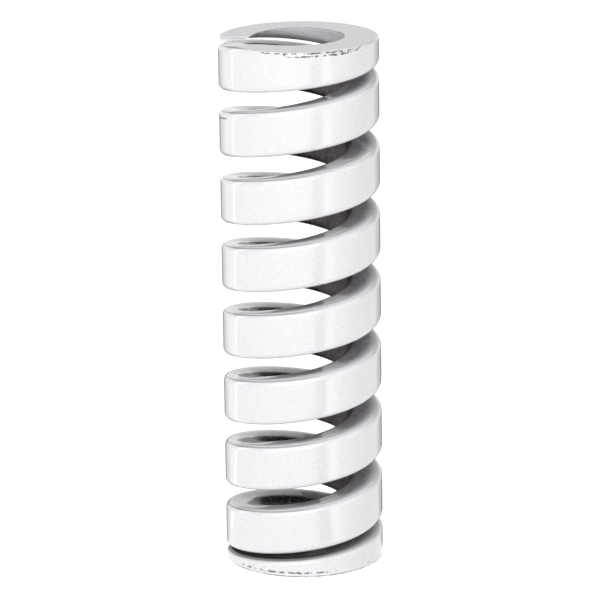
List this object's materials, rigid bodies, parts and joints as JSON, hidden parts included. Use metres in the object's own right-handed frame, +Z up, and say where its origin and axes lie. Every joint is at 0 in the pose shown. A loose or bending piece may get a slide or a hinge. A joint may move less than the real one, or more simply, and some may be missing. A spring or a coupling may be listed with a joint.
{
  "type": "die spring",
  "caption": "Round die spring coiled right-handed from heavy rectangular wire, white enamel, with both ends closed and ground flat.",
  "frame": {"origin": "centre of the lower ground face, on the spring's axis", "axes": "+Z up along the spring's axis to the upper ground face, -X towards the tip of the wire on that face"},
  "size_m": [0.0298, 0.0298, 0.1],
  "materials": {
    "spring_wire": "glossy white enamel over spring steel, chipped along the ground edges"
  },
  "bodies": {
    "root": {"die_spring": "spring_wire"}
  },
  "joints": []
}
